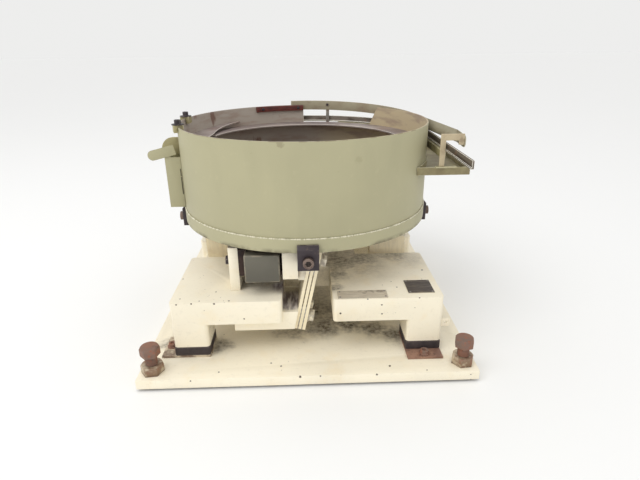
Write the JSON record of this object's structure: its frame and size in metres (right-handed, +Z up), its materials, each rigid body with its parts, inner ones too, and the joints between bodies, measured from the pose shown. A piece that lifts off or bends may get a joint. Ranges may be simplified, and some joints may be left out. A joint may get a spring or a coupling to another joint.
{
  "type": "vibratory bowl feeder",
  "caption": "Vibratory bowl feeder: a spiral-track bowl with an outside rail and return pan, shaken on leaf-spring banks by tangential magnets over a cast base.",
  "frame": {"origin": "on the surface the feeder stands on, under the bowl's centre", "axes": "+Z up along the bowl's axis, -Y towards the front, +X towards the side with the discharge rail"},
  "size_m": [0.62, 0.634, 0.4405],
  "materials": {
    "cream_paint": "satin paint, dusty and chipped",
    "khaki_paint": "satin paint over sheet steel",
    "olive_paint": "satin paint on the pan and guides",
    "bare_steel": "worn, lightly tarnished",
    "worn_steel": "worn by parts, brown film",
    "dark_steel": "blackened steel",
    "rusty_steel": "light brown rust",
    "rubber": "matt black",
    "fibreglass": "off-white glass-fibre laminate",
    "potting": "grey-green potting over the winding",
    "laminations": "brown laminated steel"
  },
  "bodies": {
    "base": {"base_plate": "cream_paint", "levelling_screws": "rusty_steel", "lock_nuts": "bare_steel", "isolator_plates": "rusty_steel", "isolator_pads": "rubber", "isolator_bolts": "rusty_steel", "base_casting": "cream_paint", "lower_spacers": "bare_steel", "lower_spring_bolts": "bare_steel", "leaf_springs_front": "fibreglass", "leaf_springs_left": "fibreglass", "leaf_springs_back": "fibreglass", "leaf_springs_right": "fibreglass", "magnet_bracket_front": "cream_paint", "magnet_bracket_back": "cream_paint", "magnet_core_front": "laminations", "magnet_core_back": "laminations", "magnet_coil_front": "potting", "magnet_coil_back": "potting", "magnet_bolts": "dark_steel", "bracket_bolts": "bare_steel", "blank_plate": "cream_paint", "rating_plate": "bare_steel"},
    "bowl": {"top_frame": "rusty_steel", "armature_front": "cream_paint", "armature_back": "cream_paint", "armature_bolts": "dark_steel", "upper_spacers": "bare_steel", "upper_spring_bolts": "dark_steel", "bowl_clamps": "dark_steel", "clamp_screws": "bare_steel", "bowl_foot_band": "khaki_paint", "bowl_wall": "khaki_paint", "bowl_floor": "worn_steel", "spiral_track": "worn_steel", "exit_run": "worn_steel", "centre_bolt": "bare_steel", "wear_strip": "rusty_steel", "wear_strip_screws": "dark_steel", "confining_band": "khaki_paint", "band_post": "bare_steel", "band_post_screws": "dark_steel", "exit_rail": "bare_steel", "rail_shelf": "bare_steel", "rail_bridge": "khaki_paint", "return_pan": "olive_paint", "return_box": "khaki_paint", "box_tongue": "khaki_paint", "box_guide": "olive_paint", "rim_adjusters": "khaki_paint", "rim_screws": "dark_steel"}
  },
  "joints": [
    {"name": "bowl_vibration", "type": "hinge", "parent": "base", "child": "bowl", "pos_m": [0, 0, 0.235], "axis": [0, 0, 1], "range_deg": [-0.3, 0.3], "stiffness_Nm_per_rad": 20000, "deforming": ["leaf_springs_front", "leaf_springs_left", "leaf_springs_back", "leaf_springs_right"]}
  ]
}
